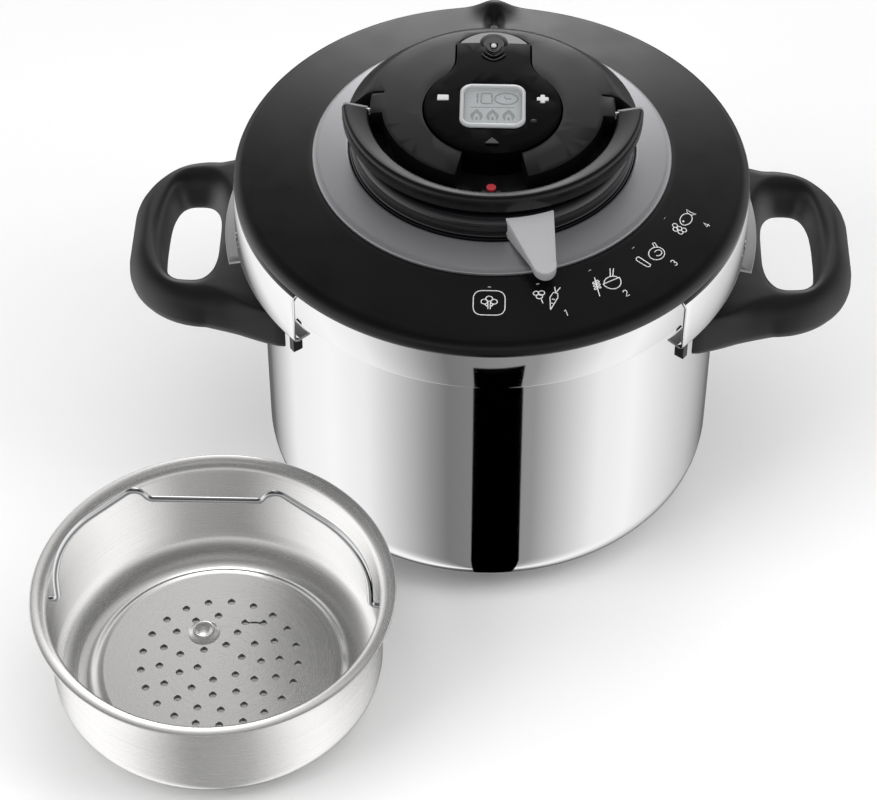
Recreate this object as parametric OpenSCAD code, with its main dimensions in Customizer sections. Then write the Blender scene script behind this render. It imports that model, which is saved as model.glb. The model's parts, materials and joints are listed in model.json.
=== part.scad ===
// Stovetop pressure cooker with a clip-on lid, a removable battery timer and a steam basket.
// Frame: origin at the centre of the pot's base, +Z up, front (display side) towards -Y.

/* [Pot] */
// Outer radius of the pot's wall
pot_r = 112; // [108:0.5:114]
// Thickness of the pot's wall
wall_t = 1.2; // [0.8:0.1:1.6]
// Outer radius of the corner between wall and bottom
corner_r = 24; // [16:1:30]
// Radius of the heat-spreading base disc
base_r = 92; // [80:1:94]
// Thickness of the base disc
base_h = 7; // [5:0.5:9]
// Height of the collar's lower edge
collar_z = 153.5; // [150:0.5:155]
// Height of the pot's rim
rim_z = 175.5; // [174:0.5:176]
// Outer radius of the collar
collar_r = 113.7; // [113:0.1:114]

/* [Side handles] */
// Distance from the pot's axis to a handle's outer edge
handle_reach = 176; // [170:1:182]
// Half width of the grip at its corners
handle_half_w = 53; // [46:1:56]
// Half width of a handle where it meets the pot
handle_root_w = 64; // [58:1:66]
// Height of a handle's lower face
handle_z = 127; // [122:1:130]
// Thickness of a handle
handle_h = 22; // [18:1:23]
// Size of the finger hole, outwards and sideways
finger_hole = [25, 66];
// Radius of the grip's outer corners
handle_corner = 40; // [30:1:46]

/* [Lid] */
// Radius of the lid's cover
cover_r = 123.3; // [121:0.1:124]
// Height of the cover's lower edge
cover_z = 183.2; // [183:0.1:185]
// Thickness of the cover
cover_t = 2.4; // [2:0.1:3]
// Outer and inner radius of the silver trim ring
trim_r = [85.3, 68];
// Height of the flat the trim ring and the drum stand on
deck_z = 198; // [196:0.5:199]

/* [Jaws] */
// Outer radius of a jaw
jaw_r = 124; // [123:0.2:125]
// Half of the arc that a jaw covers, in degrees
jaw_half = 43; // [36:1:46]
// Sheet thickness of a jaw
jaw_t = 1.5; // [1.2:0.1:2]
// How far a jaw slides outwards
jaw_travel = 13; // [10:0.5:14]

/* [Drum] */
// Outer radius of the fixed drum inside the selector ring
drum_r = 60.6; // [60:0.1:60.8]
// Height of the drum's top
drum_z = 214; // [212:0.5:215]
// Radius of the dome in front of the folded handle
dome_r = 52; // [50:0.5:53]
// Height of the opening handle's pivot
pivot_z = 221.4; // [221:0.1:222]
// Inner radius of the opening handle
arch_r = 58; // [57.5:0.1:59]
// Angle between two selector positions, in degrees
selector_step = 16; // [12:1:18]

/* [Timer] */
// Radius of the timer's round body
timer_r = 32; // [30:0.5:34]
// Half width of the timer's neck
neck_w = 17.4; // [15:0.1:19]
// Height of the timer's top
timer_z = 231; // [230:0.5:233]
// Width of the display's frame
lcd_w = 31; // [29:0.5:33]

/* [Steam basket] */
// Radius of the basket's rim
basket_r = 86; // [80:1:88]
// Height of the basket's rim
basket_z = 68; // [60:1:72]
// Centre of the basket beside the pot
basket_xy = [-127, -164];
// Radius of the bail's wire
wire_r = 1.5; // [1.2:0.1:2]

/* [Hidden] */

$fn = 96;
gap = 0.4;              // between pieces that move past each other
pin_play = 0.06;        // radial play of a pin in its bore
plate_z = rim_z + 2.5;  // underside of the lid plate at its rim
plate_t = 1.4;
plate_r = 115.5;
lip_z = plate_z + plate_t + 0.6;     // underside of a jaw's upper lip
jaw_z = collar_z - 2;                // underside of a jaw
bar_z = lip_z + jaw_t;               // underside of the slide bars
bar_t = 1.2;
bar_w = 30;
cam_z = bar_z + bar_t + 0.6;
cam_t = 2;
cam_r = 40;
cam_pin_r = 2.5;
cam_pin_x = 16;                      // distance of a cam pin from the axis, jaws closed
stud_r = 5;
edge_r = 6;                          // rounding of the cover's edge
trim_in_z = 203.5;                   // top of the trim ring at its inner edge
trim_out_z = 200.5;                  // top of the trim ring at its outer edge
flange_z = trim_in_z + 0.7;          // top of the drum's flange
flange_r = trim_r[1] - gap;
selector_r = 67.2;
selector_z = [flange_z + gap, pivot_z - 6];
arch_h = 10;
arch_off = 6.6;                      // the handle's outer circle is centred this far back
arch_out_r = 71.1;
arch_slope = 0.22;                   // fall of the handle's top towards its inner edge
pivot_pin_r = 2.5;
wing_r = 69;                         // radius of the dome behind the folded handle
wing_y = 9.5;                        // the wings start this far behind the pivot
timer_y = -5;                        // centre of the timer's round body
timer_pocket_z = 216;                // floor of the dome's pocket for the timer
neck_y = 44;                         // rear end of the timer's neck
groove = 0.9;                        // open groove round the timer
pocket_end_r = 19.5;                 // rounding of the pocket's rear end
surround_y = 54;                     // rear end of the valve surround
flare_r = 20;                        // concave blend between timer body and neck
indicator_y = -49.2;
indicator_z = 218.8;                 // top of the indicator's pin, tip left out
valve_y = 46;
button_x = 23.3;
button_y = 1;
lever_tip = 95;                      // distance of the lever's tip from the axis
lever_tip_r = 5.6;
lever_root = 13.6;                   // half width of the lever's inner end
basket_wall = 79;                    // outer radius of the basket's wall
basket_t = 0.8;
basket_floor_z = 8;
basket_corner = 14;
bail_z = 58;                         // height of the bail's pivot
bend_lap = 0.4;
steel = "silver";
black = [0.08, 0.08, 0.09];
grey = [0.62, 0.63, 0.65];

function arc(c, r, a0, a1, n) =
    [for (i = [0:n]) c + r * [cos(a0 + (a1 - a0) * i / n), sin(a0 + (a1 - a0) * i / n)]];

module ring(r_out, r_in, z0, z1) {
    translate([0, 0, z0]) difference() {
        cylinder(r = r_out, h = z1 - z0);
        translate([0, 0, -1]) cylinder(r = r_in, h = z1 - z0 + 2);
    }
}

// One copy on each side of the pot, turned half round
module at_side(side) rotate([0, 0, side == "left" ? 180 : 0]) children();

// Part of a body between two angles either side of +X
module sector(half, r) {
    intersection() {
        children();
        linear_extrude(300) polygon([
            [0, 0], r * [cos(half), -sin(half)], r * [1, -tan(half / 2)],
            r * [1, tan(half / 2)], r * [cos(half), sin(half)]]);
    }
}

// ---- Pot ----

module pot_shell() {
    corner = [pot_r - corner_r, base_h + corner_r];
    inner_r = pot_r - wall_t;
    color(steel) rotate_extrude() polygon(concat(
        [[0, base_h]], arc(corner, corner_r, -90, 0, 10),
        [[pot_r, collar_z], [collar_r - 0.4, collar_z], [collar_r, collar_z + 0.6],
         [collar_r, rim_z - 0.8], [collar_r - 0.8, rim_z], [inner_r, rim_z]],
        arc(corner, corner_r - wall_t, 0, -90, 10), [[0, base_h + wall_t]]));
}

module base_disc() {
    color(steel) rotate_extrude() polygon([
        [0, 0], [base_r - 2, 0], [base_r - 0.6, 0.6], [base_r, 2], [base_r, base_h], [0, base_h]]);
}

module handle_outline() {
    corner = handle_reach - handle_corner;
    straight_w = handle_half_w - handle_corner;
    hole_r = 11;
    difference() {
        union() {
            for (s = [-1, 1]) translate([corner, s * straight_w]) circle(handle_corner, $fn = 128);
            translate([corner, -straight_w]) square([handle_corner, 2 * straight_w]);
            polygon([[96, -handle_root_w], [corner, -handle_half_w],
                     [corner, handle_half_w], [96, handle_root_w]]);
        }
        circle(pot_r + 2.2, $fn = 200);
        translate([handle_reach - 18 - finger_hole[0], -finger_hole[1] / 2]) {
            translate([0, hole_r]) square([finger_hole[0], finger_hole[1] - 2 * hole_r]);
            translate([hole_r, 0]) square([finger_hole[0] - 2 * hole_r, finger_hole[1]]);
            for (x = [hole_r, finger_hole[0] - hole_r], y = [hole_r, finger_hole[1] - hole_r])
                translate([x, y]) circle(hole_r);
        }
    }
}

module side_handle() {
    color(black) difference() {
        translate([0, 0, handle_z]) linear_extrude(handle_h) handle_outline();
        // screw hole through the inner bar, with a recess for the head
        translate([100, 0, handle_z + handle_h / 2]) rotate([0, 90, 0]) {
            cylinder(r = 2.7, h = 40);
            translate([0, 0, 27]) cylinder(r = 4.6, h = 20);
        }
    }
}

module handle_left() at_side("left") side_handle();
module handle_right() at_side("right") side_handle();

// Welded steel bracket that the handle is screwed to
module handle_bracket() {
    z0 = handle_z + 1;
    color(steel) difference() {
        union() {
            sector(20, 130) ring(pot_r + 1.6, pot_r, z0, z0 + 20);
            translate([pot_r + 0.8, 0, handle_z + handle_h / 2]) rotate([0, 90, 0])
                cylinder(r = 4.5, h = 1.4);
        }
        translate([pot_r + 0.4, 0, handle_z + handle_h / 2]) rotate([0, 90, 0])
            cylinder(r = 2.05, h = 10);
    }
}

module handle_bracket_left() at_side("left") handle_bracket();
module handle_bracket_right() at_side("right") handle_bracket();

module handle_screws() {
    color(steel) for (side = ["left", "right"]) at_side(side)
        translate([pot_r + 0.5, 0, handle_z + handle_h / 2]) rotate([0, 90, 0]) difference() {
            union() {
                cylinder(r = 2, h = 16);
                translate([0, 0, 14.6]) cylinder(r = 4.2, h = 2.6);
            }
            translate([0, 0, 15.6]) cylinder(r = 2, h = 3, $fn = 6);
        }
}

// Heat-resistant strips on the wall beside each end of a handle
module handle_spacers() {
    color(black) for (side = ["left", "right"], s = [-1, 1]) at_side(side)
        rotate([0, 0, s * 35.2]) sector(0.9, 130)
            ring(pot_r + 2.6, pot_r, handle_z + 2, handle_z + handle_h - 3);
}

// ---- Lid ----

module lid_plate() {
    color(steel) difference() {
        rotate_extrude() polygon([
            [0, plate_z + 0.8], [96, plate_z + 0.8], [99, plate_z], [plate_r, plate_z],
            [plate_r, plate_z + plate_t], [99.4, plate_z + plate_t],
            [96.4, plate_z + plate_t + 0.8 - 0.4], [0, plate_z + plate_t + 0.4]]);
        for (p = [[0, 0, stud_r - 1], [0, indicator_y, 4.5], [0, valve_y, 5.5], [62, 48, 6]])
            translate([p[0], p[1], plate_z - 5]) cylinder(r = p[2], h = 20);
        for (a = [45:90:315]) rotate([0, 0, a]) translate([50, 0, plate_z - 5])
            cylinder(r = 2.2, h = 20);
    }
}

module gasket() {
    color([0.75, 0.76, 0.76]) rotate_extrude() polygon([
        [99.5, plate_z], [113.4, plate_z], [113.4, rim_z + 0.3], [107.5, rim_z + 0.3],
        [107.5, rim_z - 3.5], [105.5, rim_z - 4.5], [104.5, rim_z - 3.5], [104.5, rim_z + 0.3],
        [99.5, rim_z + 0.3]]);
}

module cover_profile() {
    edge = [cover_r - edge_r, cover_z + 2.6];
    inner = edge_r - cover_t;
    polygon(concat(
        [[cover_r, cover_z]], arc(edge, edge_r, 0, 78, 8),
        [[104, deck_z - 3.2], [trim_r[0] + 0.7, deck_z], [56, deck_z], [56, deck_z - cover_t],
         [trim_r[0] + 0.5, deck_z - cover_t], [104, deck_z - 3.2 - cover_t]],
        arc(edge, inner, 78, 0, 6), [[cover_r - cover_t, cover_z]]));
}

// The raised part of the cover that ducts steam to the rear
module spout_solid(r, h) {
    intersection() {
        translate([0, 96, cover_z - 1]) rotate([-90, 0, 0]) cylinder(r = r, h = 29);
        cylinder(r = cover_r + 0.4, h = 300);
        translate([-20, 96, cover_z]) cube([40, 40, h]);
    }
}

module lid_cover() {
    color(black) difference() {
        union() {
            rotate_extrude($fn = 160) cover_profile();
            spout_solid(13, 14);
            // rib that stands on the lid plate
            difference() {
                ring(98, 95.6, plate_z + plate_t + 0.8, deck_z - 2);
                translate([-120, -bar_w / 2 - 1, plate_z]) cube([240, bar_w + 2, 7.5]);
            }
        }
        // steam duct, open upwards at the outlet and below the cover
        translate([0, 106, cover_z - 2]) cylinder(r = 3.4, h = 20);
        translate([-2, 106, cover_z + 6.5]) cube([4, 30, 12]);
    }
}

// Funnel-shaped insert in the spout
module steam_outlet() {
    color([0.03, 0.03, 0.03]) translate([0, 106, cover_z + 1]) difference() {
        cylinder(r = 3.4, h = 8);
        translate([0, 0, -1]) cylinder(r = 2, h = 10);
        translate([-2, 0, 5.5]) cube([4, 5, 5]);
    }
}

module trim_ring() {
    color(grey) rotate_extrude($fn = 160) polygon([
        [trim_r[1], deck_z], [trim_r[1], trim_in_z - 0.5], [trim_r[1] + 0.5, trim_in_z],
        [trim_r[0] - 1.6, trim_out_z + 0.3], [trim_r[0] - 0.4, trim_out_z - 0.4],
        [trim_r[0], trim_out_z - 1.4], [trim_r[0], deck_z]]);
}

// ---- Drum: the fixed housing in the middle of the lid ----

module drum_housing() {
    color(black) difference() {
        union() {
            rotate_extrude($fn = 160) polygon([
                [54, deck_z], [flange_r, deck_z], [flange_r, flange_z], [drum_r, flange_z],
                [drum_r, drum_z - 0.6], [drum_r - 0.6, drum_z], [0, drum_z], [0, drum_z - 2.4],
                [54, drum_z - 2.4]]);
            for (a = [45:90:315]) rotate([0, 0, a]) translate([50, 0, plate_z + plate_t + 0.4])
                cylinder(r = 3.6, h = drum_z - 2 - (plate_z + plate_t + 0.4));
        }
        translate([0, indicator_y, deck_z - 5]) cylinder(r = 4.5, h = 30);
        translate([0, valve_y, deck_z - 5]) cylinder(r = 6.5, h = 30);
        translate([0, 0, drum_z - 5]) cylinder(r = stud_r, h = 10);
        for (a = [45:90:315]) rotate([0, 0, a]) translate([50, 0, plate_z])
            cylinder(r = 1.6, h = 24);
    }
}

module drum_screws() {
    color(steel) for (a = [45:90:315]) rotate([0, 0, a]) translate([50, 0, plate_z - 2.2]) {
        cylinder(r = 3.4, h = 3);
        cylinder(r = 1.6, h = 24);
    }
}

module centre_stud() {
    color(steel) translate([0, 0, plate_z - 1.8]) {
        cylinder(r = 7, h = 2.6);
        cylinder(r = stud_r - 1, h = 5);
        translate([0, 0, plate_t + 2.2]) cylinder(r = stud_r, h = drum_z - plate_z - plate_t - 0.4);
    }
}

module timer_outline(y_end, grow = 0) {
    r = timer_r + grow;
    w = neck_w + grow;
    blend = flare_r - grow;
    blend_x = w + blend;
    blend_y = timer_y + sqrt((r + blend) * (r + blend) - blend_x * blend_x);
    translate([0, timer_y]) circle(r);
    translate([-w, 0]) square([2 * w, y_end + grow]);
    difference() {
        translate([0, timer_y]) polygon([
            [0, 0], r / (r + blend) * [blend_x, blend_y - timer_y], [w, blend_y - timer_y],
            [-w, blend_y - timer_y], r / (r + blend) * [-blend_x, blend_y - timer_y]]);
        for (s = [-1, 1]) translate([s * blend_x, blend_y]) circle(blend);
    }
}

// The timer's outline, continued to a round rear end behind the valve
module pocket_outline(grow = 0) {
    intersection() {
        timer_outline(surround_y + 2, grow);
        union() {
            translate([-40, -60]) square([80, 60 + neck_y - 6]);
            translate([0, surround_y - pocket_end_r]) circle(pocket_end_r + grow, $fn = 128);
        }
    }
}

module dome_outline() {
    circle(dome_r);
    difference() {
        circle(wing_r);
        translate([-80, -80]) square([160, 80 + wing_y]);
    }
    // lugs for the pivot pins
    intersection() {
        translate([-arch_r, -6]) square([2 * arch_r, 14]);
        circle(arch_r - 0.6);
    }
}

module dome_cover() {
    crown_r = 420;
    color(black) difference() {
        intersection() {
            translate([0, 0, drum_z]) linear_extrude(20) dome_outline();
            translate([0, 0, timer_z - 0.6 - crown_r]) sphere(crown_r, $fn = 200);
            // outer slope of the wings
            rotate_extrude($fn = 160) polygon([
                [0, drum_z], [drum_r - 0.6, drum_z], [drum_r - 0.6, selector_z[1] + gap],
                [wing_r - 0.8, selector_z[1] + gap], [wing_r, selector_z[1] + 1.4],
                [60, timer_z - 5.5], [52, timer_z - 3], [20, timer_z], [0, timer_z]]);
        }
        translate([0, 0, timer_pocket_z]) linear_extrude(30) pocket_outline(groove);
        // recess that opens forwards to the pressure indicator
        translate([0, 0, timer_pocket_z]) linear_extrude(30)
            polygon([[-12.7, -30], [12.7, -30], [17, -50], [17, -60], [-17, -60], [-17, -50]]);
        translate([0, indicator_y, drum_z - 5]) cylinder(r = 4.5, h = 30);
        translate([0, valve_y, drum_z - 5]) cylinder(r = 6.5, h = 30);
        translate([0, 0, drum_z - 5]) cylinder(r = stud_r, h = 6);
        for (s = [-1, 1]) translate([s * 50, 0, pivot_z]) rotate([0, s * 90, 0])
            cylinder(r = pivot_pin_r + pin_play, h = 20);
    }
}

module valve_surround() {
    color([0.8, 0.8, 0.8]) translate([0, 0, timer_pocket_z]) linear_extrude(timer_z - timer_pocket_z - 3.5)
        difference() {
            pocket_outline(0);
            translate([-40, -60]) square([80, 60 + neck_y + gap]);
            translate([0, valve_y]) circle(6.8);
        }
}

module valve_seat() {
    color(steel) difference() {
        union() {
            translate([0, valve_y, plate_z - 1]) cylinder(r = 5.4, h = 14);
            translate([0, valve_y, plate_z - 2.4]) cylinder(r = 7.5, h = 3.2);
        }
        translate([0, valve_y, plate_z - 5]) cylinder(r = 1.6, h = 30);
        translate([0, valve_y, plate_z + 8]) cylinder(r = 3.06, h = 30);
    }
}

module indicator_bush() {
    color(black) difference() {
        union() {
            translate([0, indicator_y, plate_z - 1]) cylinder(r = 4.4, h = timer_pocket_z - plate_z + 3);
            translate([0, indicator_y, plate_z - 2.6]) cylinder(r = 6.5, h = 3.4);
        }
        translate([0, indicator_y, plate_z - 5]) cylinder(r = 2.2 + pin_play, h = 60);
    }
}

module safety_valve() {
    color(steel) translate([62, 48, plate_z - 2.4]) difference() {
        union() {
            cylinder(r = 8, h = 3.2);
            cylinder(r = 5.9, h = 12);
        }
        translate([0, 0, -1]) cylinder(r = 1.5, h = 20);
        translate([0, 0, 3]) cylinder(r = 4.4, h = 20);
    }
}

module safety_spring() {
    color(steel) translate([62, 48, plate_z + 0.8]) for (i = [0:3])
        translate([0, 0, 0.5 + i * 2]) rotate_extrude() translate([3.3, 0]) circle(0.5, $fn = 24);
}

module safety_nut() {
    color(steel) translate([62, 48, plate_z + plate_t + 0.5]) difference() {
        cylinder(r = 10, h = 3.5, $fn = 6);
        translate([0, 0, -1]) cylinder(r = 5.95, h = 6);
    }
}

// ---- Opening handle: half ring that folds over the front of the drum ----

// Envelope of the handle: the top slopes down inwards from a rounded outer edge
module arch_envelope(shrink = 0) {
    out = arch_out_r - shrink;
    top = pivot_z + arch_h / 2 - shrink;
    translate([0, arch_off, 0]) rotate_extrude($fn = 160) polygon([
        [40, pivot_z - 6], [out - 1, pivot_z - 6], [out, pivot_z - 4], [out, top - 1.8],
        [out - 0.5, top - 0.5], [out - 1.8, top], [40, top - arch_slope * (out - 41.8)]]);
}

module opening_handle() {
    color(black) difference() {
        intersection() {
            translate([0, 0, pivot_z - arch_h / 2]) linear_extrude(arch_h) difference() {
                translate([0, arch_off]) circle(arch_out_r + 1, $fn = 160);
                circle(arch_r, $fn = 160);
                translate([-80, 1]) square([160, 100]);
            }
            arch_envelope();
        }
        for (s = [-1, 1]) translate([s * 57, 0, pivot_z]) rotate([0, s * 90, 0])
            cylinder(r = pivot_pin_r, h = 9);
    }
}

module handle_end_caps() {
    color([0.7, 0.7, 0.7]) difference() {
        intersection() {
            for (s = [-1, 1]) translate([s * 64.6 - 6, 1, pivot_z - 3.6]) cube([12, 1.2, 8.4]);
            arch_envelope(0.4);
            difference() {
                cylinder(r = 80, h = 300);
                cylinder(r = arch_r + 0.2, h = 300);
            }
        }
        // room for the pivot pins
        translate([-66.4, 0, pivot_z]) rotate([0, 90, 0]) cylinder(r = pivot_pin_r + 0.1, h = 132.8);
    }
}

module pivot_pins() {
    color(steel) for (s = [-1, 1]) translate([s * 51, 0, pivot_z]) rotate([0, s * 90, 0])
        cylinder(r = pivot_pin_r, h = 14.8);
}

// ---- Jaws and the cam that drives them ----

module jaw() {
    color(steel) sector(jaw_half, 200) union() {
        rotate_extrude($fn = 160) polygon([
            [114.3, jaw_z], [jaw_r - 3, jaw_z], [jaw_r - 0.9, jaw_z + 0.9], [jaw_r, jaw_z + 3],
            [jaw_r, bar_z - 3], [jaw_r - 0.9, bar_z - 0.9], [jaw_r - 3, bar_z],
            [108, bar_z], [108, lip_z], [jaw_r - 3.6, lip_z], [jaw_r - jaw_t, lip_z - 2],
            [jaw_r - jaw_t, jaw_z + jaw_t + 2], [jaw_r - 3.6, jaw_z + jaw_t],
            [114.3, jaw_z + jaw_t]]);
        // stiffening flange over the side handle
        sector(14, 200) ring(jaw_r + 5, jaw_r - 2.5, jaw_z, jaw_z + jaw_t);
    }
}

module jaw_left() at_side("left") jaw();
module jaw_right() at_side("right") jaw();

module slide_bar() {
    color(steel) difference() {
        translate([cam_pin_x - 5, -bar_w / 2, bar_z]) cube([107, bar_w, bar_t]);
        translate([cam_pin_x, 0, bar_z - 1]) cylinder(r = cam_pin_r - 0.5, h = 5);
    }
}

module slide_bar_left() at_side("left") slide_bar();
module slide_bar_right() at_side("right") slide_bar();

module cam_pin() {
    color(steel) translate([cam_pin_x, 0, bar_z]) {
        cylinder(r = cam_pin_r - 0.5, h = bar_t);
        translate([0, 0, bar_t]) cylinder(r = cam_pin_r, h = 3);
    }
}

module cam_pin_left() at_side("left") cam_pin();
module cam_pin_right() at_side("right") cam_pin();

// Spiral slots turn a quarter turn of the disc into the jaws' travel
module cam_slot() {
    half = cam_pin_r + gap;
    lead = [for (a = [-12:3:99]) a];   // longer than the turn at both ends
    r_at = [for (a = lead) cam_pin_x + jaw_travel * a / 90];
    polygon(concat(
        [for (i = [0:len(lead) - 1]) (r_at[i] + half) * [cos(lead[i]), sin(-lead[i])]],
        [for (i = [len(lead) - 1:-1:0]) (r_at[i] - half) * [cos(lead[i]), sin(-lead[i])]]));
}

module cam_disc() {
    color(steel) translate([0, 0, cam_z]) linear_extrude(cam_t) difference() {
        circle(cam_r);
        circle(stud_r + pin_play);
        cam_slot();
        rotate(180) cam_slot();
    }
}

// ---- Selector ----

// Outline of the pointer, seen from above and pointing along +X
module lever_outline() {
    translate([lever_tip - lever_tip_r, 0]) circle(lever_tip_r);
    polygon([[55, -lever_root], [lever_tip - lever_tip_r, -lever_tip_r],
             [lever_tip - lever_tip_r, lever_tip_r], [55, lever_root]]);
}

module selector_ring() {
    color(black) difference() {
        rotate_extrude($fn = 160) polygon([
            [drum_r + gap, selector_z[0]], [selector_r - 0.6, selector_z[0]],
            [selector_r, selector_z[0] + 0.6], [selector_r, selector_z[0] + 3],
            [selector_r - 0.8, selector_z[0] + 7], [selector_r - 2.6, selector_z[1]],
            [drum_r + gap, selector_z[1]]]);
        // seat of the pointer
        rotate([0, 0, selector_step - 90]) translate([0, 0, selector_z[0] - 1])
            linear_extrude(20) lever_outline();
    }
}

module selector_lever() {
    reach = lever_tip - lever_tip_r;
    color(grey) rotate([0, 0, selector_step - 90]) intersection() {
        translate([0, 0, selector_z[0] - 5]) linear_extrude(20) difference() {
            lever_outline();
            circle(drum_r + gap);
        }
        // sloping top and an underside that clears the trim ring
        rotate([90, 0, 0]) linear_extrude(60, center = true) polygon([
            [50, selector_z[0]], [reach - 2, selector_z[0] - 0.2], [lever_tip + 1, 201],
            [lever_tip + 1, 206], [reach, 207.6], [70, 213.8], [66, selector_z[1] - 0.3],
            [50, selector_z[1] - 0.3]]);
    }
}

// ---- Timer ----

module timer_top() {
    crown_r = 420;
    color(black) difference() {
        intersection() {
            translate([0, 0, timer_pocket_z + 5]) linear_extrude(20) timer_outline(neck_y);
            translate([0, 0, timer_z + 0.4 - crown_r]) sphere(crown_r, $fn = 200);
        }
        // hollow for the electronics
        translate([0, 0, timer_pocket_z]) linear_extrude(timer_z - 2.2 - timer_pocket_z)
            timer_outline(neck_y - 12, -2);
        translate([0, timer_y, timer_pocket_z]) linear_extrude(30) soft_square(lcd_w, lcd_w, 6.1);
        translate([0, valve_y, timer_pocket_z]) cylinder(r = 7.2, h = 30);
        translate([-button_x, button_y, timer_pocket_z]) cube([6, 4.2, 60], center = true);
        translate([button_x, button_y, timer_pocket_z]) {
            cube([6.2, 2.8, 60], center = true);
            cube([2.8, 6.2, 60], center = true);
        }
    }
}

module timer_base() {
    color(black) difference() {
        translate([0, 0, timer_pocket_z + gap]) linear_extrude(5 - gap) timer_outline(neck_y);
        translate([0, 0, timer_pocket_z + 2]) linear_extrude(5) timer_outline(neck_y - 12, -2);
        translate([0, timer_y, timer_pocket_z - 1]) cylinder(r = 11.4, h = 10);
        translate([0, valve_y, timer_pocket_z - 1]) cylinder(r = 7.2, h = 30);
    }
}

module battery_door() {
    color(black) difference() {
        translate([0, timer_y, timer_pocket_z + gap]) cylinder(r = 11.2, h = 1.4);
        translate([0, timer_y, timer_pocket_z]) cube([12, 1.6, 2], center = true);
    }
}

module battery() {
    color(steel) translate([0, timer_y, timer_pocket_z + 2]) {
        cylinder(r = 10, h = 2.6);
        cylinder(r = 8.6, h = 3.2);
    }
}

module circuit_board() {
    color("darkgreen") translate([0, 0, timer_z - 8.4]) linear_extrude(1.2) intersection() {
        timer_outline(neck_y - 16, -3);
        translate([0, timer_y]) circle(28.5);
    }
}

module buzzer() {
    color("dimgray") translate([0, 19.5, timer_z - 7.2]) difference() {
        cylinder(r = 5.5, h = 3.4);
        translate([0, 0, 2]) cylinder(r = 1, h = 3);
    }
}

module timer_screws() {
    color(steel) for (a = [60:120:300]) rotate([0, 0, a]) translate([22, 0, timer_z - 11.4]) {
        cylinder(r = 1.1, h = 3);
        cylinder(r = 2.2, h = 1.2);
    }
}

// Rounded square, centred
module soft_square(w, h, r) {
    translate([-w / 2 + r, -h / 2]) square([w - 2 * r, h]);
    translate([-w / 2, -h / 2 + r]) square([w, h - 2 * r]);
    for (x = [-1, 1], y = [-1, 1]) translate([x * (w / 2 - r), y * (h / 2 - r)]) circle(r);
}

module lcd_frame() {
    color(grey) translate([0, timer_y, 0]) difference() {
        translate([0, 0, timer_z - 6.8]) linear_extrude(7.6) soft_square(lcd_w - 0.3, lcd_w - 0.3, 6);
        translate([0, 0, timer_z - 8]) linear_extrude(20) soft_square(lcd_w - 4.2, lcd_w - 5.6, 4);
    }
}

module lcd_window() {
    color([0.7, 0.75, 0.75, 0.5]) translate([0, timer_y, timer_z - 1.2]) linear_extrude(1.2)
        soft_square(lcd_w - 4.4, lcd_w - 5.8, 4);
}

module lcd_cell() {
    color([0.6, 0.63, 0.62]) translate([0, timer_y, timer_z - 3.4]) linear_extrude(1.6)
        soft_square(lcd_w - 4.4, lcd_w - 5.8, 4);
}

module minus_button() {
    color("white") translate([-button_x - 2.7, button_y - 1.8, timer_z - 4.6]) cube([5.4, 3.6, 4.8]);
}

module plus_button() {
    color("white") translate([button_x, button_y, timer_z - 2.2]) {
        cube([5.6, 2.2, 4.8], center = true);
        cube([2.2, 5.6, 4.8], center = true);
    }
}

// ---- Indicator and valve ----

module indicator_pin() {
    foot_z = plate_z - 9.5;              // low enough to rise without reaching the bush
    color(black) translate([0, indicator_y, foot_z]) {
        cylinder(r = 2.2, h = indicator_z - foot_z);
        cylinder(r = 4, h = 2.4);
    }
}

module indicator_tip() {
    color("firebrick") translate([0, indicator_y, indicator_z]) cylinder(r = 2.2, h = 1.2);
}

module valve_rod() {
    color(steel) translate([0, valve_y, plate_z + 8.5]) {
        cylinder(r = 3, h = timer_z - 6 - plate_z - 8.5);
        translate([0, 0, 5.6]) cylinder(r = 5, h = 14);
    }
}

module valve_cap() {
    color(black) translate([0, valve_y, timer_z - 6]) {
        cylinder(r = 5, h = 2);
        cylinder(r = 2, h = 3.4);
    }
}

// ---- Steam basket ----

module basket_shell() {
    corner = [basket_wall - basket_corner, basket_floor_z + basket_corner];
    color(steel) translate([basket_xy[0], basket_xy[1], 0]) difference() {
        rotate_extrude($fn = 120) polygon(concat(
            [[0, basket_floor_z], [56, basket_floor_z], [60, basket_floor_z]],
            arc(corner, basket_corner, -90, 0, 6),
            [[basket_wall, basket_z - 6], [basket_wall + 1.5, basket_z - 3],
             [basket_r - 1.5, basket_z - 1.5], [basket_r, basket_z - 1.2],
             [basket_r, basket_z - 0.3], [basket_r - 0.6, basket_z], [basket_wall + 1, basket_z - 1],
             [basket_wall - basket_t, basket_z - 5]],
            arc(corner, basket_corner - basket_t, 0, -90, 6),
            [[60, basket_floor_z + basket_t], [56, basket_floor_z + basket_t],
             [0, basket_floor_z + basket_t]]));
        // drain holes on rings about the centre
        for (k = [1:3], i = [0:6 * k]) rotate([0, 0, i * 360 / (6 * k + 1)])
            translate([14 * k + 4, 0, 0]) cylinder(r = 2, h = 20, $fn = 24);
        // drain slot with two round ends
        cube([12, 2.4, 40], center = true);
        for (s = [-1, 1]) translate([s * 6, 0, 0]) cylinder(r = 2.4, h = 20, $fn = 24);
        for (s = [-1, 1]) translate([0, 0, bail_z]) rotate([0, s * 90, 0])
            cylinder(r = wire_r + pin_play, h = 100);
    }
}

module basket_feet() {
    color(steel) translate([basket_xy[0], basket_xy[1], 0]) for (a = [30:120:270])
        rotate([0, 0, a]) translate([52, 0, 0]) cylinder(r1 = 3, r2 = 4, h = basket_floor_z);
}

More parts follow.
